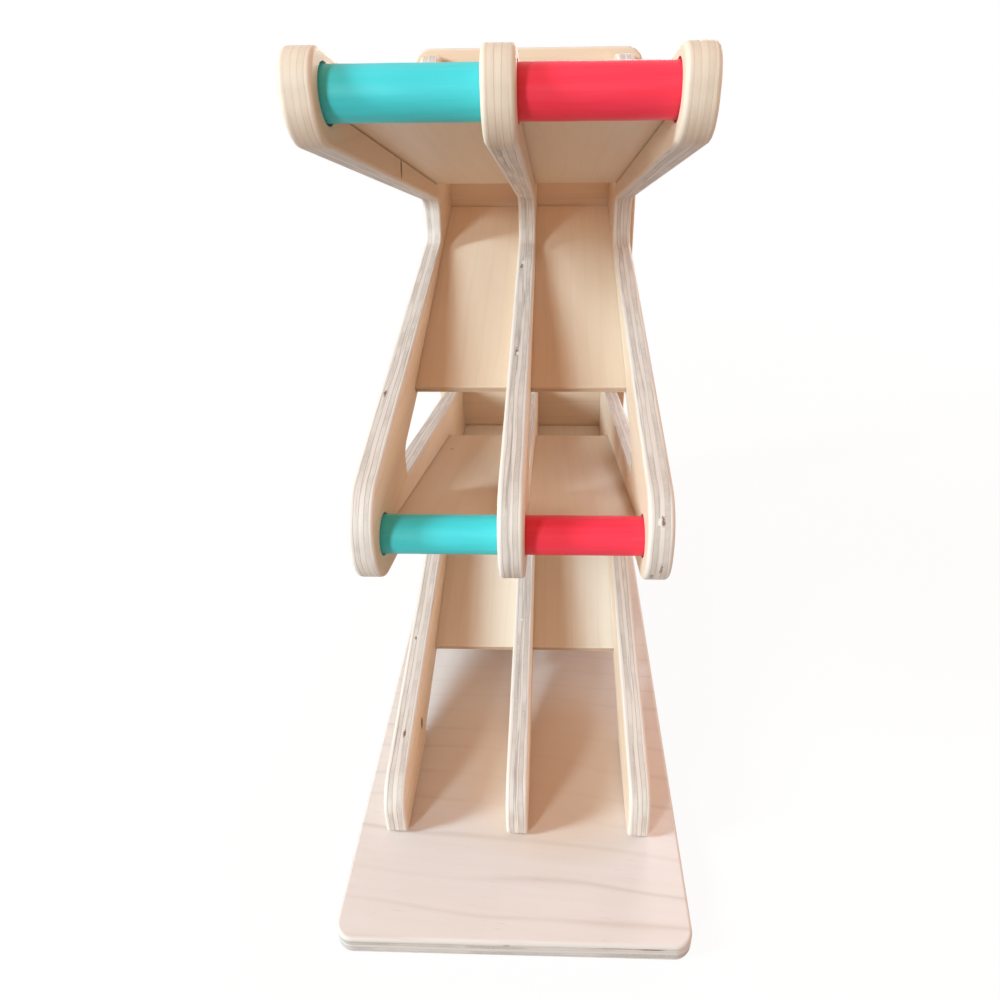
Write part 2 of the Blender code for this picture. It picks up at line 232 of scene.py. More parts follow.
def layPlies(bench, through, waver, board, reach):
    plies = board["plies"]
    depth = bench.maths("MULTIPLY_ADD", through, plies / board["thickness"], plies / 2)
    below = bench.maths("MINIMUM", depth, bench.maths("SUBTRACT", plies, depth))  # plies below the nearer flat face
    depth = bench.maths("ADD", depth, bench.maths("MULTIPLY_ADD", waver, reach, -reach / 2))  # layers waver a little
    depth = bench.maths("MINIMUM", bench.maths("MAXIMUM", depth, 0.01), plies - 0.01)
    within = bench.maths("FRACT", depth)
    fromGlue = bench.maths("MINIMUM", within, bench.maths("SUBTRACT", 1.0, within))
    fromFace = bench.maths("MINIMUM", depth, bench.maths("SUBTRACT", plies, depth))
    return {
        "depth": depth,
        "layer": bench.maths("FLOOR", depth),
        "crossShare": bench.eased(bench.maths("SINE", bench.maths("MULTIPLY", depth, math.pi)), 0.35, -0.35),
        "glue": bench.maths("MULTIPLY", bench.eased(fromGlue, 0.12, 0.02), bench.eased(fromFace, 0.45, 0.6)),
        "sawn": bench.eased(below, 0.03, 0.3),
    }


def makePlywood(name, look, board, marks=()):
    material, bench = startMaterial(name)
    grain, through, seed = board["grain"], board["through"], board["seed"]
    turn = Matrix((grain, through.cross(grain), through))  # local X along the grain, Z through the board
    centre = Vector(board["centre"])
    spot = bench.add("ShaderNodeTexCoord").outputs["Object"]
    mapping = {"Vector": spot, "Location": -(turn @ centre), "Rotation": turn.to_euler(), "Scale": toMm}
    local = bench.add("ShaderNodeMapping", mapping).outputs[0]
    parts = bench.add("ShaderNodeSeparateXYZ", {"Vector": local}).outputs

    def grown(kind, offset):
        scale, detail, roughness = woodNoise[kind]
        return bench.noise(bench.vectors("MULTIPLY_ADD", local, scale, offset), detail, roughness)

    ply = layPlies(bench, parts[2], grown("waver", (seed,) * 3), board, look["waver"])

    # streaks along each ply's own grain
    crossed = bench.maths("MODULO", ply["layer"], 2.0)
    stretch = bench.vectors("MULTIPLY_ADD", crossed, crossScale, streakScale)
    shift = bench.maths("MULTIPLY_ADD", ply["layer"], look["plyShift"], seed)
    along = bench.vectors("ADD", bench.vectors("MULTIPLY", local, stretch), shift)
    streak = bench.noise(along, 5.0, 0.62, 0.35)
    fine = bench.noise(bench.vectors("MULTIPLY", along, (fineScale,) * 3), 3.0, 0.6)
    blotch = grown("blotch", shift)

    # thin growth lines that wander along the grain and fade in and out
    across = bench.maths("MULTIPLY", parts[1], look["figurePitch"] * 2 * math.pi)
    phase = bench.maths("MULTIPLY_ADD", grown("wander", shift), look["wander"], across)
    phase = bench.maths("MULTIPLY_ADD", blotch, look["blotchBend"], phase)
    wave = bench.maths("MULTIPLY_ADD", bench.maths("SINE", phase), 0.5, 0.5)
    ring = bench.maths("POWER", wave, look["figureSharpness"])
    fade = grown("fade", (seed + 4.0,) * 3)
    figure = bench.maths("MULTIPLY", ring, bench.eased(fade, 0.34, 0.56, 0.1, look["figure"]))

    face = bench.mixed(bench.eased(streak, 0.28, 0.74, 0.0, look["streak"]), look["pale"], look["warm"])
    face = bench.mixed(bench.eased(blotch, 0.35, 0.75, 0.0, look["blotch"]), face, look["warm"])
    face = bench.mixed(figure, face, look["line"])
    face = bench.mixed(bench.eased(grown("fleck", shift), 0.64, 0.78, 0.0, look["fleck"]), face, look["line"])

    # sawn edge: pale and grey plies that come and go, with stained stretches
    greyShare = bench.maths("MULTIPLY", ply["crossShare"], bench.eased(grown("runs", shift), 0.36, 0.62, 0.08, 0.78))
    greyShare = bench.maths("MULTIPLY", greyShare, bench.eased(fine, 0.25, 0.75, 1.0, 0.6))
    edge = bench.mixed(greyShare, look["edgePale"], look["edgeGrey"])
    fromCore = bench.maths("ABSOLUTE", bench.maths("SUBTRACT", ply["depth"], board["plies"] * look["corePlace"]))
    coreStain = bench.eased(fromCore, 0.8, 0.15, 0.0, board.get("core", 0.0) * look["coreStain"])
    stained = bench.maths("ADD", coreStain, grown("stain", (seed + 9.0,) * 3))
    edge = bench.mixed(bench.eased(stained, 0.56, 0.82, 0.0, look["stain"]), edge, look["edgeStain"])
    glueShare = bench.maths("MULTIPLY", ply["glue"], bench.eased(blotch, 0.35, 0.65, 0.2, 0.8))
    edge = bench.mixed(glueShare, edge, look["glue"])
    colour = bench.mixed(ply["sawn"], face, edge)

    # small voids, fillings and tinted places, each at its own spot; some tints are painted shade
    dent = 0.0
    grit = grown("grit", (seed,) * 3)
    for mark in marks:
        sockets = {
            "Vector": local,
            "Location": turn @ (Vector(mark["at"]) - centre),
            "Rotation": (0, 0, mark["lean"]),
            "Scale": mark["size"],
        }
        reach = bench.vectors("LENGTH", bench.add("ShaderNodeMapping", sockets, vector_type="TEXTURE").outputs[0])
        rim = bench.maths("ADD", reach, bench.maths("MULTIPLY_ADD", grit, mark["ragged"], -0.5 * mark["ragged"]))
        share = bench.eased(rim, 1.15, 0.55, 0.0, mark["dark"])
        colour = bench.mixed(share, colour, mark.get("colour", look["mark"]))
        if "colour" not in mark:
            dent = bench.maths("ADD", dent, share)

    relief = look["relief"]
    height = bench.maths("MULTIPLY_ADD", streak, relief["streak"], bench.maths("MULTIPLY", fine, relief["fine"]))
    height = bench.maths("SUBTRACT", height, bench.maths("MULTIPLY", ply["glue"], relief["glue"]))
    height = bench.maths("SUBTRACT", height, bench.maths("MULTIPLY", dent, relief["pit"]))
    spread = look["roughSpread"]
    roughness = bench.maths("MULTIPLY_ADD", fine, spread, look["roughness"] - spread / 2)
    sockets = {"Base Color": colour, "Roughness": roughness, "Specular IOR Level": look["gloss"]}
    endMaterial(bench, sockets, height, look["bump"], look["bumpDepth"])
    return material


# Satin paint, brushed along the dowel
paintLook = {
    "teal": {"coat": (0.050, 0.565, 0.61, 1), "thin": (0.064, 0.605, 0.655, 1)},
    "red": {"coat": (0.89, 0.030, 0.066, 1), "thin": (0.91, 0.042, 0.085, 1)},
    "brushScale": (0.03, 0.55, 0.55),  # cycles per mm
    "gritScale": (0.8, 1.6, 1.6),
    "roughness": 0.44,
    "roughSpread": 0.14,
    "gloss": 0.34,
    "bump": 0.1,
    "bumpDepth": 0.0003,
}


def makePaint(name, look, colours):
    material, bench = startMaterial(name)
    spot = bench.add("ShaderNodeTexCoord").outputs["Object"]
    local = bench.vectors("MULTIPLY", spot, toMm)
    brush = bench.noise(bench.vectors("MULTIPLY", local, look["brushScale"]), 4.0, 0.6)
    grit = bench.noise(bench.vectors("MULTIPLY", local, look["gritScale"]), 2.0)
    colour = bench.mixed(bench.eased(brush, 0.3, 0.75), colours["coat"], colours["thin"])
    spread = look["roughSpread"]
    roughness = bench.maths("MULTIPLY_ADD", grit, spread, look["roughness"] - spread / 2)
    height = bench.maths("MULTIPLY_ADD", brush, 0.7, bench.maths("MULTIPLY", grit, 0.3))
    sockets = {"Base Color": colour, "Roughness": roughness, "Specular IOR Level": look["gloss"]}
    endMaterial(bench, sockets, height, look["bump"], look["bumpDepth"])
    return material


# Zinc-plated steel, for the screws
zincLook = {
    "bright": (0.70, 0.70, 0.69, 1),
    "dull": (0.50, 0.50, 0.48, 1),
    "cloudScale": (900, 900, 900),  # cycles per metre
    "scratchScale": (400, 3200, 3200),
    "roughness": 0.24,  # at the least
    "roughSpread": 0.25,
    "bump": 0.08,
    "bumpDepth": 0.0001,
}


def makeZinc(name, look):
    material, bench = startMaterial(name)
    spot = bench.add("ShaderNodeTexCoord").outputs["Object"]
    cloud = bench.noise(bench.vectors("MULTIPLY", spot, look["cloudScale"]), 4.0, 0.6)
    scratch = bench.noise(bench.vectors("MULTIPLY", spot, look["scratchScale"]), 2.0)
    colour = bench.mixed(bench.eased(cloud, 0.3, 0.7), look["bright"], look["dull"])
    roughness = bench.maths("MULTIPLY_ADD", scratch, look["roughSpread"], look["roughness"])
    sockets = {"Base Color": colour, "Roughness": roughness, "Metallic": 1.0}
    endMaterial(bench, sockets, scratch, look["bump"], look["bumpDepth"])
    return material


# Shared mesh work
def linkPiece(name, mesh):
    piece = bpy.data.objects.new(name, mesh)
    scene.collection.objects.link(piece)
    return piece


def plainMesh(piece):
    bpy.context.view_layer.update()
    graph = bpy.context.evaluated_depsgraph_get()
    finished = piece.evaluated_get(graph)
    mesh = bpy.data.meshes.new_from_object(finished, preserve_all_data_layers=True, depsgraph=graph)
    piece.modifiers.clear()
    before = piece.data
    piece.data = mesh
    bpy.data.meshes.remove(before)
    mesh.name = piece.name


def oneFinish(piece, finish):
    piece.data.materials.clear()
    piece.data.materials.append(finish)
    piece.data.polygons.foreach_set("material_index", [0] * len(piece.data.polygons))


def smoothUpTo(piece, degrees):
    piece.data.shade_smooth()
    piece.data.set_sharp_from_angle(angle=math.radians(degrees))


def softNormals(piece):
    smoothUpTo(piece, 40)
    weigh = piece.modifiers.new("weigh", "WEIGHTED_NORMAL")
    weigh.keep_sharp = True
    plainMesh(piece)


def addTurned(bm, profile, place, sides):
    rings = []
    for radius, height in profile:  # mm
        count = sides if radius else 1
        angles = [2 * math.pi * side / count for side in range(count)]
        spots = [Vector((radius * math.cos(a), radius * math.sin(a), height)) for a in angles]
        rings.append([bm.verts.new(place @ (spot * mm)) for spot in spots])
    for lower, upper in zip(rings, rings[1:]):
        for side in range(sides):
            pair = (side, (side + 1) % sides)
            quad = [lower[i % len(lower)] for i in pair] + [upper[i % len(upper)] for i in reversed(pair)]
            bm.faces.new(list(dict.fromkeys(quad)))  # a ring of one point gives triangles


def addBlock(bm, low, high, place):
    size, centre = Vector(high) - Vector(low), (Vector(high) + Vector(low)) / 2
    fitted = Matrix.Translation(centre * mm) @ Matrix.Diagonal((*(size * mm), 1))
    bmesh.ops.create_cube(bm, size=1, matrix=place @ fitted)


def roundOff(bm, edges, radius, steps):
    shape = {"offset": radius * mm, "segments": steps, "profile": 0.5}
    bmesh.ops.bevel(bm, geom=edges, affect="EDGES", clamp_overlap=True, material=-1, **shape)


def meshFrom(name, bm):
    bmesh.ops.recalc_face_normals(bm, faces=bm.faces)
    mesh = bpy.data.meshes.new(name)
    bm.to_mesh(mesh)
    bm.free()
    return mesh


def boxOf(node):
    return [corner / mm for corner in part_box(node)]


def handOver(piece, slot, *nodes):
    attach(piece, "root")
    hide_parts(*nodes)


# Trees that grow a mesh: named inputs at the start, one finish at the end
def startTree(name, sockets, result):
    tree = bpy.data.node_groups.new(name, "GeometryNodeTree")
    inputs = {}
    for socket, kind in sockets.items():
        made = tree.interface.new_socket(socket, in_out="INPUT", socket_type="NodeSocket" + kind)
        inputs[socket] = made.identifier
    tree.interface.new_socket(result, in_out="OUTPUT", socket_type="NodeSocketGeometry")
    return tree, inputs, nodeBench(tree)


def endTree(bench, shape, finish):
    real = bench.add("GeometryNodeRealizeInstances", {"Geometry": shape}).outputs[0]
    done = bench.add("GeometryNodeSetMaterial", {"Geometry": real, "Material": finish}).outputs[0]
    bench.feed(bench.add("NodeGroupOutput").inputs[0], done)


# A board cut along an outline: every corner carries its own radius
boardSteps = {
    "arcPoints": 14,
    "arcShare": 0.49,  # of the shorter edge beside a corner, at most
    "edgeSteps": 4,
    "flatFace": 8,  # a face with more corners than this is one of the two flat ones
    "weld": 1e-6,
}


def makeBoardTree(steps):
    sockets = {"Outline": "Geometry", "Thickness": "Float", "Arc Points": "Int", "Finish": "Material"}
    tree, inputs, bench = startTree("roundedBoard", sockets, "Board")
    given = bench.add("NodeGroupInput").outputs
    curve = bench.add("GeometryNodeMeshToCurve", {"Mesh": given["Outline"]}).outputs[0]
    radius = bench.add("GeometryNodeInputNamedAttribute", {"Name": "cornerRadius"}, data_type="FLOAT").outputs[0]
    fillet = {"Curve": curve, "Count": given["Arc Points"], "Radius": radius, "Limit Radius": True}
    rounded = bench.add("GeometryNodeFilletCurve", fillet, mode="POLY").outputs[0]
    sheet = bench.add("GeometryNodeFillCurve", {"Curve": rounded}, mode="NGONS").outputs[0]
    rise = bench.add("ShaderNodeCombineXYZ", {"Z": given["Thickness"]}).outputs[0]
    extrusion = {"Mesh": sheet, "Offset": rise, "Offset Scale": 1.0, "Individual": False}
    raised = bench.add("GeometryNodeExtrudeMesh", extrusion, mode="FACES").outputs[0]
    under = bench.add("GeometryNodeFlipFaces", {"Mesh": sheet}).outputs[0]
    both = bench.add("GeometryNodeJoinGeometry")
    for part in (raised, under):
        tree.links.new(part, both.inputs[0])
    welding = {"Geometry": both.outputs[0], "Distance": steps["weld"]}
    endTree(bench, bench.add("GeometryNodeMergeByDistance", welding).outputs[0], given["Finish"])
    return tree, inputs


boardTree, boardInputs = makeBoardTree(boardSteps)


def makeBoard(name, corners, thickness, place, finish, edgeRound):
    mesh = bpy.data.meshes.new(name)
    count = len(corners)
    loop = [(index, (index + 1) % count) for index in range(count)]
    mesh.from_pydata([(a * mm, b * mm, 0) for a, b, radius in corners], loop, [])
    radii = mesh.attributes.new("cornerRadius", "FLOAT", "POINT")
    for index, (a, b, radius) in enumerate(corners):
        here = Vector((a, b))
        back, on = Vector(corners[index - 1][:2]) - here, Vector(corners[(index + 1) % count][:2]) - here
        room = boardSteps["arcShare"] * min(back.length, on.length) * math.tan(back.angle(on) / 2)
        radii.data[index].value = min(radius, room) * mm
    piece = linkPiece(name, mesh)
    grow = piece.modifiers.new("grow", "NODES")
    grow.node_group = boardTree
    grow[boardInputs["Thickness"]] = thickness * mm
    grow[boardInputs["Arc Points"]] = boardSteps["arcPoints"]
    grow[boardInputs["Finish"]] = finish
    plainMesh(piece)
    piece.data.transform(place)
    oneFinish(piece, finish)
    bm = bmesh.new()
    bm.from_mesh(piece.data)
    bmesh.ops.dissolve_degenerate(bm, dist=boardSteps["weld"], edges=bm.edges)
    bmesh.ops.recalc_face_normals(bm, faces=bm.faces)
    flat = boardSteps["flatFace"]
    rims = [edge for edge in bm.edges if any(len(face.verts) > flat for face in edge.link_faces)]
    roundOff(bm, rims, edgeRound, boardSteps["edgeSteps"])
    bm.to_mesh(piece.data)
    bm.free()
    return piece


def cutBoard(piece, *cutters):
    for cutter in cutters:
        cut = piece.modifiers.new("cut", "BOOLEAN")
        cut.operation = "DIFFERENCE"
        cut.solver = "EXACT"
        cut.object = cutter
    plainMesh(piece)
    softNormals(piece)


# Ramp lines and dowel places, read from the parts of model.glb, in mm
def sideLine(node):
    spots = sorted({(round(v.co.y / mm, 2), round(v.co.z / mm, 2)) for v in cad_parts[node].data.vertices})
    front, rear = (max(ends, key=lambda spot: spot[1]) for ends in (spots[:2], spots[-2:]))  # the upper corners
    return {"front": front, "rear": rear, "slope": (rear[1] - front[1]) / (rear[0] - front[0])}


def lineAt(line, y):
    return line["front"][1] + line["slope"] * (y - line["front"][0])


lanes = ("left", "right")
rampLines = {number: sideLine("ramp_%d_left" % number) for number in (1, 2, 3, 4)}
baseLow, baseHigh = boxOf("base_plate")
backLow, backHigh = boxOf("back_board")
topLow, topHigh = boxOf("dowel_top_left")
lowLow, lowHigh = boxOf("dowel_low_left")
dowelY = (topLow.y + topHigh.y) / 2
dowelHeights = {"top": (topLow.z + topHigh.z) / 2, "low": (lowLow.z + lowHigh.z) / 2}
dowelRadius = (topHigh.z - topLow.z) / 2
middleY = (dowelY + backLow.y) / 2


def dowelPlace(height):
    return Matrix.Translation(Vector((0, dowelY, height)) * mm) @ Matrix.Rotation(math.pi / 2, 4, "Y")


# Screws: countersunk, cross recess, all in one tree
screwSizes = {
    "head": 7.0,
    "shank": 3.4,
    "length": 26.0,
    "point": 4.0,
    "tip": 0.2,
    "overlap": 0.3,  # of the shank with the head and the point
    "shankFit": 0.97,
    "pointFit": 0.95,
    "recess": 4.2,
    "recessWidth": 0.9,
    "recessDepth": 1.5,
    "spin": 0.3,  # of the cross, in the back board
    "hole": 0.18,
    "holeMouth": 2.0,
    "sides": 40,
}


def screwPlaces(sizes):
    places = {}
    for name in sorted(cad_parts):
        if name.startswith("screw_"):
            low, high = boxOf(name)
            middle = (low + high) / 2
            if name.startswith("screw_back"):
                places[name] = (Vector((middle.x, high.y, middle.z)), (-math.pi / 2, sizes["spin"], 0))
            else:
                places[name] = (Vector((middle.x, middle.y, low.z)), (math.pi, 0, 0))
    return places


def makeScrewTree(sizes):
    sockets = {"Places": "Geometry", "Head": "Float", "Shank": "Float", "Length": "Float", "Point": "Float"}
    tree, inputs, bench = startTree("countersunkScrews", dict(sockets, Finish="Material"), "Screws")
    given = bench.add("NodeGroupInput").outputs
    headRadius, shankRadius = (bench.maths("MULTIPLY", given[name], 0.5) for name in ("Head", "Shank"))
    headDepth = bench.maths("SUBTRACT", headRadius, shankRadius)
    overlap = sizes["overlap"] * mm

    def cone(top, bottom, length, start):
        sockets = {"Vertices": sizes["sides"], "Radius Top": top, "Radius Bottom": bottom, "Depth": length}
        body = bench.add("GeometryNodeMeshCone", sockets, fill_type="NGON").outputs["Mesh"]
        lift = bench.add("ShaderNodeCombineXYZ", {"Z": start}).outputs[0]
        return bench.add("GeometryNodeTransform", {"Geometry": body, "Translation": lift}).outputs[0]

    down = bench.maths("MULTIPLY", given["Length"], -1.0)
    shankStart = bench.maths("ADD", down, given["Point"])
    shankLength = bench.maths("SUBTRACT", bench.maths("MULTIPLY", shankStart, -1.0), overlap)
    slimShank = bench.maths("MULTIPLY", shankRadius, sizes["shankFit"])
    slimPoint = bench.maths("MULTIPLY", shankRadius, sizes["pointFit"])
    head = cone(headRadius, shankRadius, headDepth, bench.maths("MULTIPLY", headDepth, -1.0))
    shank = cone(slimShank, slimShank, shankLength, shankStart)
    point = cone(slimPoint, sizes["tip"] * mm, bench.maths("ADD", given["Point"], overlap), down)
    whole = bench.add("GeometryNodeMeshBoolean", operation="UNION", solver="EXACT")
    for part in (head, shank, point):
        tree.links.new(part, whole.inputs["Mesh 2"])
    crossed = bench.add("GeometryNodeMeshBoolean", {"Mesh 1": whole.outputs[0]}, operation="DIFFERENCE", solver="EXACT")
    slot = Vector((sizes["recess"], sizes["recessWidth"], 2 * sizes["recessDepth"])) * mm
    for quarter in (0, math.pi / 2):
        bar = bench.add("GeometryNodeMeshCube", {"Size": slot}).outputs["Mesh"]
        bar = bench.add("GeometryNodeTransform", {"Geometry": bar, "Rotation": (0, 0, quarter)}).outputs[0]
        tree.links.new(bar, crossed.inputs["Mesh 2"])
    euler = bench.add("GeometryNodeInputNamedAttribute", {"Name": "screwTurn"}, data_type="FLOAT_VECTOR").outputs[0]
    turn = bench.add("FunctionNodeEulerToRotation", {"Euler": euler}).outputs[0]
    row = {"Points": given["Places"], "Instance": crossed.outputs[0], "Rotation": turn}
    endTree(bench, bench.add("GeometryNodeInstanceOnPoints", row).outputs[0], given["Finish"])
    return tree, inputs


def makeScrews(sizes):
    places = screwPlaces(sizes)
    mesh = bpy.data.meshes.new("screws")
    mesh.from_pydata([spot * mm for spot, turn in places.values()], [], [])
    turns = mesh.attributes.new("screwTurn", "FLOAT_VECTOR", "POINT")
    for index, (spot, turn) in enumerate(places.values()):
        turns.data[index].vector = turn
    piece = linkPiece("screws", mesh)
    tree, inputs = makeScrewTree(sizes)
    grow = piece.modifiers.new("grow", "NODES")
    grow.node_group = tree
    for name in ("Head", "Shank", "Length", "Point"):
        grow[inputs[name]] = sizes[name.lower()] * mm
    grow[inputs["Finish"]] = makeZinc("zincSteel", zincLook)
    plainMesh(piece)
    smoothUpTo(piece, 30)
    handOver(piece, "zinc_steel", *places)
    return places


def makeScrewHoles(sizes, places):
    extra, mouth = sizes["hole"], sizes["holeMouth"]
    head, shank = sizes["head"] / 2 + extra, sizes["shank"] / 2 + extra
    bottom, pointTop = -sizes["length"] - extra, -sizes["length"] + sizes["point"]
    profile = [(0, bottom), (shank, pointTop), (shank, shank - head), (head, 0), (head, mouth), (0, mouth)]
    bm = bmesh.new()
    for spot, turn in places.values():
        addTurned(bm, profile, Matrix.Translation(spot * mm) @ Matrix.Rotation(turn[0], 4, "X"), sizes["sides"])
    return linkPiece("screwHoles", meshFrom("screwHoles", bm))


screwHoles = makeScrewHoles(screwSizes, makeScrews(screwSizes))
print("screws made")


# Grooves for the ramps and sockets for the dowels
seatSizes = {
    "gap": 0.46,
    "rampThickness": 3.0,
    "pastBack": 4.0,  # grooves of the ramps that meet the back board run out at the back
    "dowelGap": 0.7,
    "sides": 128,
}


def rampPlace(line):
    spot = Matrix.Translation(Vector((0, line["front"][0], line["front"][1])) * mm)
    return spot @ Matrix.Rotation(math.atan(line["slope"]), 4, "X")  # local Y runs to the back, Z is 0 on top


def rampLength(line):
    return math.hypot(line["rear"][0] - line["front"][0], line["rear"][1] - line["front"][1])


def makeSeats(sizes):
    bm = bmesh.new()
    gap = sizes["gap"]
    for number, line in rampLines.items():
        past = sizes["pastBack"] if line["slope"] > 0 else gap
        for lane in lanes:
            low, high = boxOf("ramp_%d_%s" % (number, lane))
            first = (low.x - gap, -gap, -sizes["rampThickness"] - gap)
            last = (high.x + gap, rampLength(line) + past, gap)
            addBlock(bm, first, last, rampPlace(line))
    radius = dowelRadius + sizes["dowelGap"]
    reach = -topLow.x + gap
    profile = [(0, -reach), (radius, -reach), (radius, reach), (0, reach)]
    for height in dowelHeights.values():
        addTurned(bm, profile, dowelPlace(height), sizes["sides"])
    return linkPiece("seats", meshFrom("seats", bm))


seats = makeSeats(seatSizes)


# Zigzag walls
wornLobe = (0.73, 0.56, 0.415, 1)  # warmer wood on the top lobes
wallSizes = {
    "edgeRound": 1.4,
    "plies": 5,
    "cores": {"left": 0.1, "middle": 0.4, "right": 0.1},  # how dark the middle plies are stained
    "topSlopes": {1: 0.21, 2: 0.218, 3: 0.21, 4: 0.21},
    "lowSlopes": {1: 0.238, 2: 0.238, 3: 0.23, 4: 0.238},
    "lips": {1: 15.8, 2: 11.6, 3: 13.6, 4: 18.5},  # wall above each ramp, half way along
    "sills": {1: 8.7, 2: 6.2, 3: 9.2, 4: 4.9},  # wall below each ramp
    "lobeReach": 11.6,
    "noseReach": 13.8,
    "toeReach": 23.5,
    "toeLength": 50.0,
    "notchDepth": 46.0,
    "windowReach": 45.5,
    "postDepth": 20.0,
    "postFootDepth": 44.0,
    "postBelowTop": 3.5,
    "middlePostDrop": 12.0,
    "gap": 0.3,
    "radii": {"foot": 3, "toe": 22, "notch": 8, "nose": 18, "lobe": 11.5, "dip": 18, "post": 8, "window": 6.5},
    "seed": 3.1,
    "seedStep": 7.7,
    "marks": {
        "left": [
            tint((0.64, 0.485, 0.36, 1), (-54.25, 20.0, 150.0), (300, 300, 0.5), 0.5, 0.0),  # painted shade: outer face darkened so that the key light from the left does not wash it out
            tint(wornLobe, (-49.75, -100.0, 284.0), (20, 26, 12), 0.6, 0.2),
            pit((-51.6, -37.7, 176.5), (2.3, 1.5, 0.7), 0.85, 2.2),
            pit((-51.2, -35.5, 47.5), (1.1, 1.0, 0.6), 0.75),
            tint(filler, (-50.6, -34.6, 47.7), (0.9, 0.9, 0.35), 0.8),
            pit((-49.1, -83.2, 37.5), (1.9, 1.6, 0.65), 0.85),
            pit((-45.2, -66.8, 25.1), (2.2, 3.5, 1.5), 0.95, 0.8),  # slit beside the lane
            pit((-45.2, 2.8, 253.5), (1.7, 4.3, 1.5), 1.0, 0.1, -0.33),  # pencil line under the top ramp
            tint((0.62, 0.47, 0.34, 1), (-45.2, -6.5, 256.0), (3.6, 3.2, 1.5), 0.3, 0.1, -0.33),
        ],
        "middle": [
            tint(wornLobe, (0.0, -100.0, 284.0), (20, 26, 12), 0.6, 0.2),
            pit((-1.9, 66.9, 199.3), (2.8, 1.6, 0.75), 0.8),
            tint(filler, (-1.2, 71.4, 200.2), (2.2, 1.6, 0.8), 0.9),
            pit((-1.5, -8.9, 182.7), (3.6, 1.6, 0.65), 0.85, 2.4),
            tint(filler, (-1.0, -9.9, 182.5), (1.5, 1.4, 0.6), 0.9),
            tint(filler, (-1.0, -24.3, 49.9), (0.6, 1.0, 1.1), 0.8, 0.4),
        ],
        "right": [
            tint(wornLobe, (49.75, -100.0, 284.0), (20, 26, 12), 0.6, 0.2),
            pit((50.2, -97.9, 157.7), (1.6, 2.0, 0.7), 0.85, 2.4),
            tint(filler, (49.0, -98.0, 157.6), (1.2, 1.8, 0.7), 0.85),
            pit((47.8, -98.0, 135.4), (1.8, 2.6, 0.6), 0.6, 2.2),
            pit((50.5, -100.0, 139.6), (1.8, 3.8, 0.55), 0.6, 2.2),
        ],
    },
}


def wallCorners(sizes, postDrop):
    radii, lips, sills = sizes["radii"], sizes["lips"], sizes["sills"]

    def top(number, y):
        slope = math.copysign(sizes["topSlopes"][number], rampLines[number]["slope"])
        return lineAt(rampLines[number], middleY) + lips[number] + slope * (y - middleY)

    def low(number, y):
        slope = math.copysign(sizes["lowSlopes"][number], rampLines[number]["slope"])
        under = lineAt(rampLines[number], middleY) - seatSizes["rampThickness"]
        return under - sills[number] + slope * (y - middleY)

    foot, back = baseHigh.z + sizes["gap"], backLow.y - sizes["gap"]
    toe, lobe, nose = (dowelY - sizes[reach] for reach in ("toeReach", "lobeReach", "noseReach"))
    notch, window = backLow.y - sizes["notchDepth"], dowelY + sizes["windowReach"]
    heel, dip = toe + sizes["toeLength"], backLow.y - sizes["postFootDepth"]
    postTop = backHigh.z - sizes["postBelowTop"] - postDrop
    return [
        (toe, foot, radii["foot"]),
        (toe, top(4, toe), radii["toe"]),
        (notch, top(4, notch), radii["notch"]),
        (notch, low(3, notch), radii["notch"]),
        (nose, low(3, nose), radii["nose"]),
        (nose, top(2, nose), radii["nose"]),
        (notch, top(2, notch), radii["notch"]),
        (notch, low(1, notch), radii["notch"]),
        (lobe, low(1, lobe), radii["lobe"]),
        (lobe, top(1, lobe), radii["lobe"]),
        (dip, top(1, dip), radii["dip"]),
        (backLow.y - sizes["postDepth"], postTop, radii["post"]),
        (back, postTop, radii["foot"]),
        (back, low(2, back), radii["foot"]),
        (window, low(2, window), radii["window"]),
        (window, top(3, window), radii["window"]),
        (back, top(3, back), radii["foot"]),
        (back, low(4, back), radii["foot"]),
        (heel, max(low(4, heel), foot + radii["foot"]), radii["foot"]),
        (heel, foot, 0),
    ]


def makeWalls(sizes):
    for index, side in enumerate(("left", "middle", "right")):
        low, high = boxOf("wall_" + side)
        board = {
            "centre": ((low.x + high.x) / 2, 0, 0),
            "grain": yAxis,
            "through": xAxis,
            "thickness": high.x - low.x,
            "plies": sizes["plies"],
            "seed": sizes["seed"] + sizes["seedStep"] * index,
            "core": sizes["cores"][side],
        }
        finish = makePlywood("birchWall" + side.title(), birchLook, board, sizes["marks"][side])
        corners = wallCorners(sizes, sizes["middlePostDrop"] if side == "middle" else 0.0)
        place = Matrix.Translation((low.x * mm, 0, 0)) @ Matrix((zAxis, xAxis, yAxis)).to_4x4()  # outline to Y and Z
        wall = makeBoard("wall" + side.title(), corners, board["thickness"], place, finish, sizes["edgeRound"])
        cutBoard(wall, seats, screwHoles)
        handOver(wall, "birch", "wall_" + side)


makeWalls(wallSizes)
print("walls made")


# Base plate and back board
plateSizes = {
    "corner": 7.0,
    "edgeRound": 1.4,
    "plies": 5,
    "grain": Vector((1, -0.09, 0)).normalized(),
    "seed": 31.4,
    "marks": [
        tint((0.79, 0.70, 0.66, 1), (0.0, 30.0, 9.0), (90, 120, 4), 0.75, 0.1),  # plain wood under the ramps
        tint((0.735, 0.56, 0.44, 1), (16.0, -76.0, 9.0), (50, 46, 4), 0.7, 0.1),  # painted shade: warm bounce light from the walls painted into the lane floors
        pit((50.5, -151.6, 7.1), (6.5, 1.5, 0.5), 0.8, 0.7),
        pit((38.0, -151.6, 7.2), (9.0, 1.5, 0.35), 0.5, 0.9),
        pit((-2.0, -151.6, 7.4), (1.6, 1.5, 0.5), 0.45, 0.9),
    ],
}
backSizes = {"corner": 9.0, "edgeRound": 1.4, "plies": 5, "seed": 44.2}


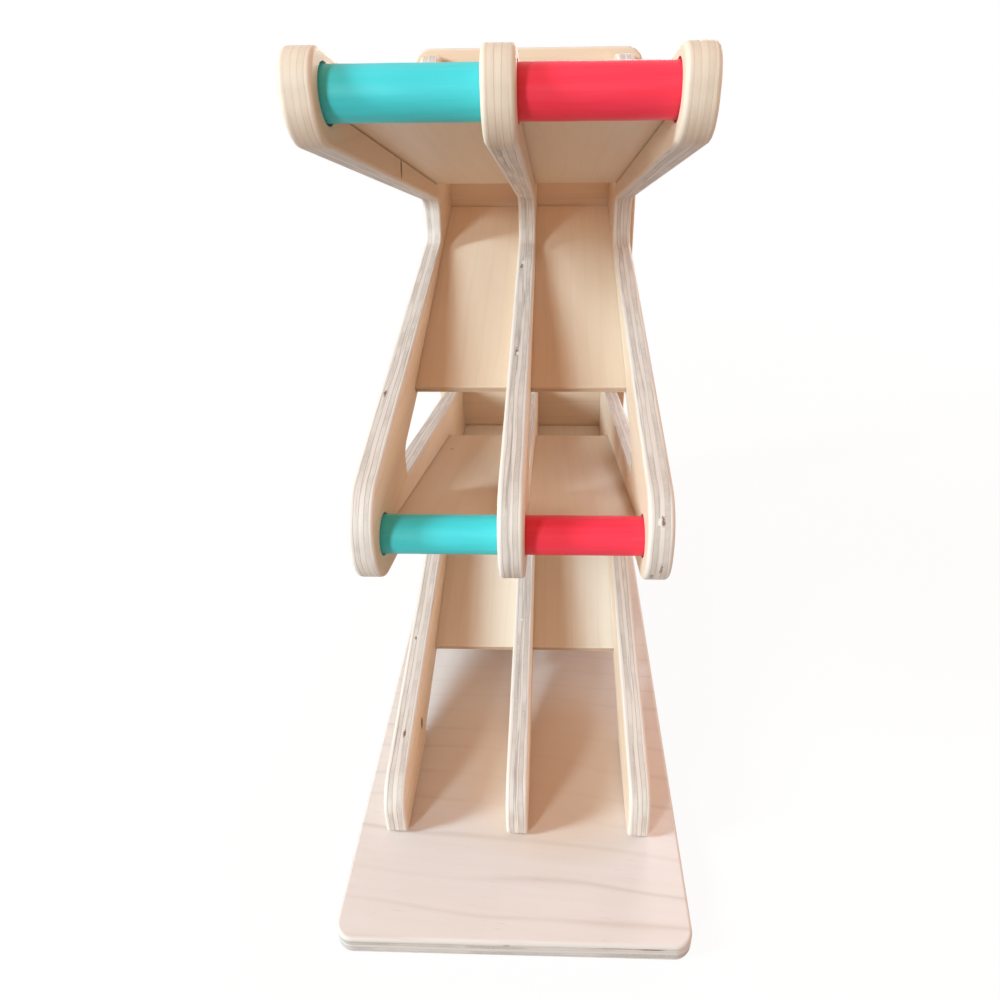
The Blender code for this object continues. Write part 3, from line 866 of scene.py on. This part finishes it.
def makePlate(sizes):
    low, high = baseLow, baseHigh
    board = {
        "centre": (0, 0, (low.z + high.z) / 2),
        "grain": sizes["grain"],
        "through": zAxis,
        "thickness": high.z - low.z,
        "plies": sizes["plies"],
        "seed": sizes["seed"],
    }
    finish = makePlywood("birchBase", baseLook, board, sizes["marks"])
    outline = ((low.x, low.y), (high.x, low.y), (high.x, high.y), (low.x, high.y))
    corners = [(x, y, sizes["corner"]) for x, y in outline]
    plate = makeBoard("basePlate", corners, board["thickness"], Matrix.Identity(4), finish, sizes["edgeRound"])
    cutBoard(plate, screwHoles)
    handOver(plate, "birch", "base_plate")


def makeBack(sizes):
    low, high = backLow, backHigh
    board = {
        "centre": (0, (low.y + high.y) / 2, 0),
        "grain": xAxis,
        "through": yAxis,
        "thickness": high.y - low.y,
        "plies": sizes["plies"],
        "seed": sizes["seed"],
    }
    finish = makePlywood("birchBack", birchLook, board)
    outline = ((low.x, low.z, 0), (high.x, low.z, 0), (high.x, high.z, 1), (low.x, high.z, 1))
    corners = [(x, z, sizes["corner"] * upper) for x, z, upper in outline]
    place = Matrix.Translation((0, high.y * mm, 0)) @ Matrix((xAxis, -zAxis, yAxis)).to_4x4()
    back = makeBoard("backBoard", corners, board["thickness"], place, finish, sizes["edgeRound"])
    cutBoard(back, screwHoles)
    handOver(back, "birch", "back_board")


makePlate(plateSizes)
makeBack(backSizes)
for cutter in (seats, screwHoles):
    bpy.data.objects.remove(cutter)
print("base and back made")


# Ramp boards, thin three-ply with a broken edge
rampSizes = {
    "thickness": 3.0,
    "edgeRound": 0.3,
    "edgeSteps": 3,
    "plies": 3,
    "seedStep": 5.3,
    "laneSeed": {"left": 0.0, "right": 2.9},
    "marks": {(3, "left"): [pit((-39.3, 40.5, 109.6), (2.6, 1.2, 1.0), 0.35)]},
}


def makeRamps(sizes):
    thickness = sizes["thickness"]
    for number, line in rampLines.items():
        place = rampPlace(line)
        along, above = (place.to_3x3() @ axis for axis in (yAxis, zAxis))
        # the lowest ramps take the paler copy of the wood, which is painted light
        look = paintedLightRampLook if number == 4 else rampLook
        for lane in lanes:
            low, high = boxOf("ramp_%d_%s" % (number, lane))
            top = Vector(((low.x + high.x) / 2, line["front"][0], line["front"][1]))
            board = {
                "centre": top - above * thickness / 2,
                "grain": along,
                "through": above,
                "thickness": thickness,
                "plies": sizes["plies"],
                "seed": sizes["seedStep"] * number + sizes["laneSeed"][lane],
            }
            name = "ramp%d%s" % (number, lane.title())
            finish = makePlywood("birch" + name.title(), look, board, sizes["marks"].get((number, lane), ()))
            bm = bmesh.new()
            addBlock(bm, (low.x, 0, -thickness), (high.x, rampLength(line), 0), place)
            roundOff(bm, bm.edges[:], sizes["edgeRound"], sizes["edgeSteps"])
            ramp = linkPiece(name, meshFrom(name, bm))
            ramp.data.materials.append(finish)
            softNormals(ramp)
            handOver(ramp, "birch_ramp", "ramp_%d_%s" % (number, lane))


makeRamps(rampSizes)
print("ramps made")


# Painted dowels
dowelSizes = {
    "chamfer": 0.8,
    "chamferStep": 0.3,  # share of the chamfer at which its slope changes
    "sides": 128,
    "rings": 24,
    "unevenness": 0.05,
    "unevenPitch": 0.31,  # radians per mm
}


def dowelProfile(sizes, start, end, height):
    chamfer = sizes["chamfer"]
    step = chamfer * sizes["chamferStep"]
    profile = [(0, start), (dowelRadius - chamfer, start), (dowelRadius - step, start + step)]
    for ring in range(sizes["rings"] + 1):  # a turned rod is never quite even
        along = start + chamfer + (end - start - 2 * chamfer) * ring / sizes["rings"]
        swell = (1 + math.sin(along * sizes["unevenPitch"] + height)) / 2
        profile.append((dowelRadius - sizes["unevenness"] * swell, along))
    return profile + [(dowelRadius - step, end - step), (dowelRadius - chamfer, end), (0, end)]


def makeDowels(sizes):
    paints = {lane: makePaint(tone + "Paint", paintLook, paintLook[tone]) for lane, tone in zip(lanes, ("teal", "red"))}
    for level, height in dowelHeights.items():
        for lane, paint in paints.items():
            low, high = boxOf("dowel_%s_%s" % (level, lane))
            bm = bmesh.new()
            addTurned(bm, dowelProfile(sizes, low.x, high.x, height), dowelPlace(height), sizes["sides"])
            name = "dowel%s%s" % (level.title(), lane.title())
            dowel = linkPiece(name, meshFrom(name, bm))
            dowel.data.materials.append(paint)
            softNormals(dowel)
            handOver(dowel, "teal_paint" if lane == "left" else "red_paint", "dowel_%s_%s" % (level, lane))


makeDowels(dowelSizes)
print("dowels made")


# Pale floor, soft light from the left and a white surround
stageLook = {
    "floorSize": 6.0,  # metres, as all sizes here
    "floorDrop": 0.0002,
    "floor": (0.9, 0.9, 0.9, 1),
    "floorBounce": (0.36, 0.34, 0.32, 1),
    "floorGlow": 0.93,  # share of plain white near the toy, which rises to 1 further out
    "floorFade": (0.25, 0.9),
    "white": (1, 1, 1, 1),
    "surround": (1.0, 0.60, 0.37, 1),  # warm room light, in the shade only
    "fill": 0.64,
    "lamps": {
        "key": {
            "at": (-1.86, -0.62, 1.12),
            "aim": (0, 0, 0.13),
            "size": (0.4, 0.8),
            "power": 48.0,
            "colour": (0.60, 0.87, 1.0),
        },
        "near": {
            "at": (-1.12, -1.81, 0.80),
            "aim": (0, 0, 0.13),
            "size": (0.4, 0.5),
            "power": 26.0,
            "colour": (0.74, 0.95, 1.0),
        },
        "right": {
            "at": (2.0, 0.8, 0.7),
            "aim": (0, 0, 0.15),
            "size": (1.2, 1.0),
            "power": 15.0,
            "colour": (0.95, 0.97, 1.0),
        },
        "back": {
            "at": (0.5, 2.1, 0.7),
            "aim": (0, 0, 0.15),
            "size": (1.2, 1.0),
            "power": 24.0,
            "colour": (0.9, 0.96, 1.0),
        },
    },
}


def seenDirectly(bench):
    path = bench.add("ShaderNodeLightPath").outputs
    seen = bench.maths("MAXIMUM", path["Is Camera Ray"], path["Is Glossy Ray"])
    return bench.maths("MAXIMUM", seen, path["Is Transmission Ray"])


def makeFloor(look):
    half, drop = look["floorSize"] / 2, -look["floorDrop"]
    mesh = bpy.data.meshes.new("floor")
    corners = [(-half, -half, drop), (half, -half, drop), (half, half, drop), (-half, half, drop)]
    mesh.from_pydata(corners, [], [(0, 1, 2, 3)])
    floor = linkPiece("floor", mesh)
    material, bench = startMaterial("paleFloor")
    seen = seenDirectly(bench)
    matt = bench.add("ShaderNodeBsdfDiffuse", {"Color": bench.mixed(seen, look["floorBounce"], look["floor"])})
    glow = bench.add("ShaderNodeEmission", {"Color": look["white"], "Strength": 1.0})
    spot = bench.vectors("LENGTH", bench.add("ShaderNodeTexCoord").outputs["Object"])
    share = bench.maths("MULTIPLY", seen, bench.eased(spot, *look["floorFade"], look["floorGlow"], 1.0))
    both = bench.add("ShaderNodeMixShader", {0: share, 1: matt.outputs[0], 2: glow.outputs[0]})
    bench.feed(bench.add("ShaderNodeOutputMaterial").inputs["Surface"], both.outputs[0])
    mesh.materials.append(material)


def makeSurround(look):
    world = bpy.data.worlds.new("studio")
    scene.world = world
    world.use_nodes = True
    world.node_tree.nodes.clear()
    bench = nodeBench(world.node_tree)
    fill = bench.add("ShaderNodeBackground", {"Color": look["surround"], "Strength": look["fill"]})
    white = bench.add("ShaderNodeBackground", {"Color": look["white"], "Strength": 1.0})
    both = bench.add("ShaderNodeMixShader", {0: seenDirectly(bench), 1: fill.outputs[0], 2: white.outputs[0]})
    bench.feed(bench.add("ShaderNodeOutputWorld").inputs["Surface"], both.outputs[0])


def makeLamps(lamps):
    for name, lamp in lamps.items():
        data = bpy.data.lights.new(name + "Light", "AREA")
        data.shape = "ELLIPSE"
        data.size, data.size_y = lamp["size"]
        data.energy = lamp["power"]
        data.color = lamp["colour"]
        light = bpy.data.objects.new(name + "Light", data)
        scene.collection.objects.link(light)
        light.location = lamp["at"]
        light.rotation_euler = (Vector(lamp["aim"]) - Vector(lamp["at"])).to_track_quat("-Z", "Y").to_euler()


makeFloor(stageLook)
makeSurround(stageLook)
makeLamps(stageLook["lamps"])
print("stage set")
